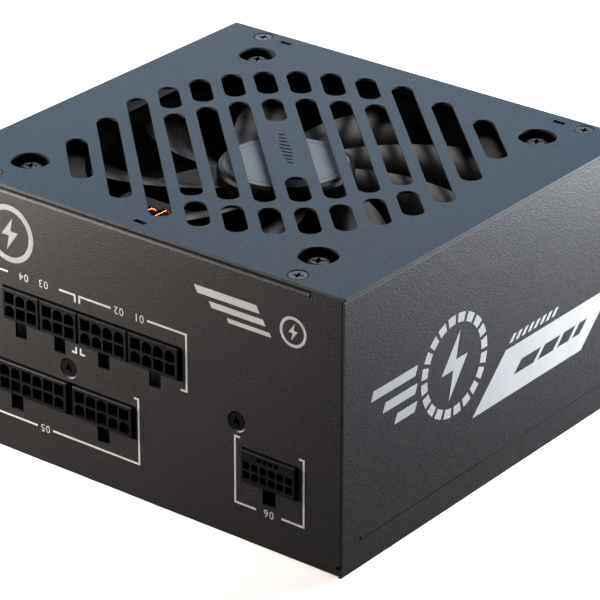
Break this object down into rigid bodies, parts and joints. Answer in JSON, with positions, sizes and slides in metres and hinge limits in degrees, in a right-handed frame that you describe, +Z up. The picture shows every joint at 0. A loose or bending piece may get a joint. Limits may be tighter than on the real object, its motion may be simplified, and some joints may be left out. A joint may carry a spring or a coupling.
{
  "type": "computer power supply",
  "caption": "Box-shaped modular computer power supply with a slotted fan lid, a turning fan, rows of keyed sockets, a mains inlet and a rocker switch.",
  "frame": {"origin": "centre of the underside of the base tray", "axes": "+Z up through the fan lid, -Y out of the modular sockets, +Y out of the mains face, +X right as seen from the sockets"},
  "size_m": [0.1501, 0.1437, 0.086],
  "materials": {
    "aluminium": "extruded aluminium",
    "board_green": "solder mask",
    "brass": "nickel-free brass",
    "bronze": "sintered bronze",
    "can_blue": "bare can",
    "can_sleeve": "shrink sleeve",
    "copper": "enamelled copper",
    "core_green": "coated powder core",
    "disc_blue": "epoxy dip",
    "epoxy": "moulded epoxy",
    "fan_black": "glossy black plastic",
    "ferrite": "ferrite",
    "film": "thin insulating film",
    "film_cap": "boxed film capacitor",
    "frame_black": "matt black plastic",
    "fuse_ceramic": "ceramic tube with plated caps",
    "label_blue": "satin blue-grey film",
    "label_grey": "plain grey film",
    "lamination": "stacked laminations",
    "magnet": "bonded ferrite",
    "plug_white": "nylon",
    "screw_black": "black oxide",
    "screw_steel": "bare zinc-plated steel",
    "socket_black": "moulded nylon",
    "steel": "ground steel",
    "steel_blue": "smooth blue-grey powder coat",
    "steel_dark": "textured dark grey powder coat",
    "tape_yellow": "polyester tape",
    "tin": "tin plate",
    "wire_black": "insulation",
    "wire_brown": "insulation",
    "wire_earth": "green insulation with a yellow stripe"
  },
  "bodies": {
    "case": {"base_tray": "steel_dark", "cover": "steel_dark", "fan_grille_lid": "steel_blue", "lid_screws": "screw_steel", "fan_screws": "screw_black", "face_screws": "screw_black", "fan_frame": "frame_black", "fan_bearing": "bronze", "fan_stator": "lamination", "fan_coils": "copper", "fan_circuit_board": "board_green", "fan_lead": "wire_black", "fan_plug": "plug_white", "fan_header": "plug_white", "main_circuit_board": "board_green", "insulation_sheet": "film", "board_standoffs": "brass", "board_screws": "screw_steel", "modular_circuit_board": "board_green", "modular_board_spacers": "brass", "graphics_socket": "socket_black", "socket_pins": "tin", "modular_capacitors": "can_blue", "bus_bars": "tin", "bulk_capacitor": "can_sleeve", "output_capacitors": "can_blue", "pfc_choke_core": "core_green", "pfc_choke_winding": "copper", "filter_choke_core": "core_green", "filter_choke_windings": "copper", "transformer_core": "ferrite", "transformer_coil": "tape_yellow", "standby_transformer": "tape_yellow", "primary_heatsink": "aluminium", "secondary_heatsink": "aluminium", "power_transistors": "epoxy", "bridge_rectifier": "epoxy", "film_capacitors": "film_cap", "disc_capacitors": "disc_blue", "fuse": "fuse_ceramic", "ac_inlet": "socket_black", "ac_inlet_pins": "tin", "ac_inlet_screws": "screw_black", "switch_housing": "socket_black", "switch_terminals": "tin", "mains_wires": "wire_brown", "earth_wire": "wire_earth", "rating_label": "label_grey", "cpu_socket_right": "socket_black", "cpu_socket_left": "socket_black", "drive_socket_right": "socket_black", "drive_socket_left": "socket_black", "main_socket_10_way": "socket_black", "main_socket_18_way": "socket_black"},
    "fan_rotor": {"fan_impeller": "fan_black", "fan_hub_label": "label_blue", "fan_shaft": "steel", "fan_yoke": "steel", "fan_magnet": "magnet"},
    "switch_rocker": {"power_rocker": "fan_black"}
  },
  "joints": [
    {"name": "fan_spin", "type": "hinge", "parent": "case", "child": "fan_rotor", "pos_m": [0, 0, 0.0716], "axis": [0, 0, 1], "continuous": true},
    {"name": "power_switch", "type": "hinge", "parent": "case", "child": "switch_rocker", "pos_m": [-0.002, 0.0694, 0.022], "axis": [1, 0, 0], "range_deg": [-16, 0]}
  ]
}
